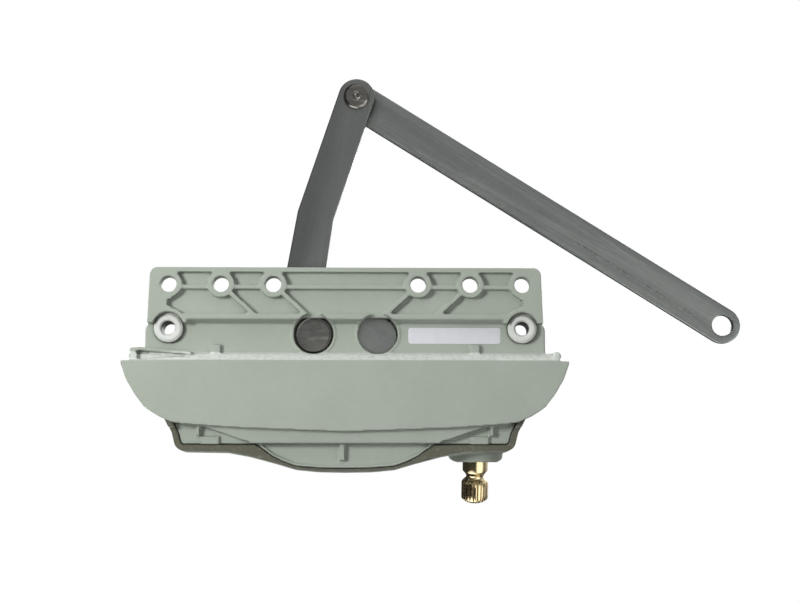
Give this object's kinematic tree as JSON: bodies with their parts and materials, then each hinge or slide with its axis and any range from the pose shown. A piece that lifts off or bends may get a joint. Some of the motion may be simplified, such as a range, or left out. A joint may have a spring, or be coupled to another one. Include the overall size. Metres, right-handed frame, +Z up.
{
  "type": "casement window operator",
  "caption": "Casement window operator: ribbed sill flange, cast case with a worm drive, splined stub, crank arm and folding link to the sash.",
  "frame": {"origin": "middle of the row of six screw holes, on the bedding face", "axes": "+Z up through the case from the sill, -Y towards the room, X along the row of screw holes"},
  "size_m": [0.2169, 0.1502, 0.0314],
  "materials": {
    "cast_stone": "stone-grey satin paint on a zinc casting",
    "arm_steel": "dull grey coated steel with scuffs",
    "gear_steel": "oiled sintered steel",
    "pin_steel": "dark turned steel",
    "screw_steel": "zinc plated steel",
    "stub_brass": "dark aged brass colour",
    "bearing_bronze": "sintered bronze",
    "white_nylon": "natural nylon",
    "seal_rubber": "black nitrile",
    "label_white": "bare white label film"
  },
  "bodies": {
    "case": {"mounting_flange": "cast_stone", "case_base": "cast_stone", "case_cover": "cast_stone", "cover_screws": "screw_steel", "left_bush": "white_nylon", "right_bush": "white_nylon", "main_pivot_pin": "pin_steel", "pivot_washer": "pin_steel", "wheel_spindle": "pin_steel", "spindle_washer": "pin_steel", "spindle_clip": "pin_steel", "shaft_rear_bush": "bearing_bronze", "shaft_front_bush": "bearing_bronze", "shaft_seal": "seal_rubber", "date_label": "label_white"},
    "crank": {"arm_bush": "bearing_bronze", "sector_gear": "gear_steel", "sector_rivets": "gear_steel", "crank_arm": "arm_steel", "elbow_rivet": "pin_steel", "elbow_washer": "white_nylon"},
    "link": {"link_arm": "arm_steel"},
    "wheel": {"wheel_bush": "bearing_bronze", "drive_pinion": "gear_steel", "worm_wheel": "bearing_bronze", "wheel_pins": "gear_steel"},
    "shaft": {"worm": "gear_steel", "worm_pin": "gear_steel", "input_shaft": "stub_brass", "thrust_washer": "white_nylon"}
  },
  "joints": [
    {"name": "arm_swing", "type": "hinge", "parent": "case", "child": "crank", "pos_m": [0.0111, -0.0169, 0.0101], "axis": [0, 0, 1], "range_deg": [-55, 30]},
    {"name": "link_swing", "type": "hinge", "parent": "crank", "child": "link", "pos_m": [-0.00344, 0.06908, 0.0138], "axis": [0, 0, 1], "range_deg": [-110, 5]},
    {"name": "wheel_spin", "type": "hinge", "parent": "case", "child": "wheel", "pos_m": [-0.01755, -0.03474, 0.0132], "axis": [0, 0, 1], "range_deg": [-60, 100]},
    {"name": "shaft_spin", "type": "hinge", "parent": "case", "child": "shaft", "pos_m": [-0.0458, -0.03474, 0.0132], "axis": [0, -0.9397, 0.342], "range_deg": [-3600, 2000]}
  ],
  "couplings": [
    {"joint": "wheel_spin", "follows": "arm_swing", "ratio": -1.7},
    {"joint": "shaft_spin", "follows": "arm_swing", "ratio": 64.6}
  ]
}
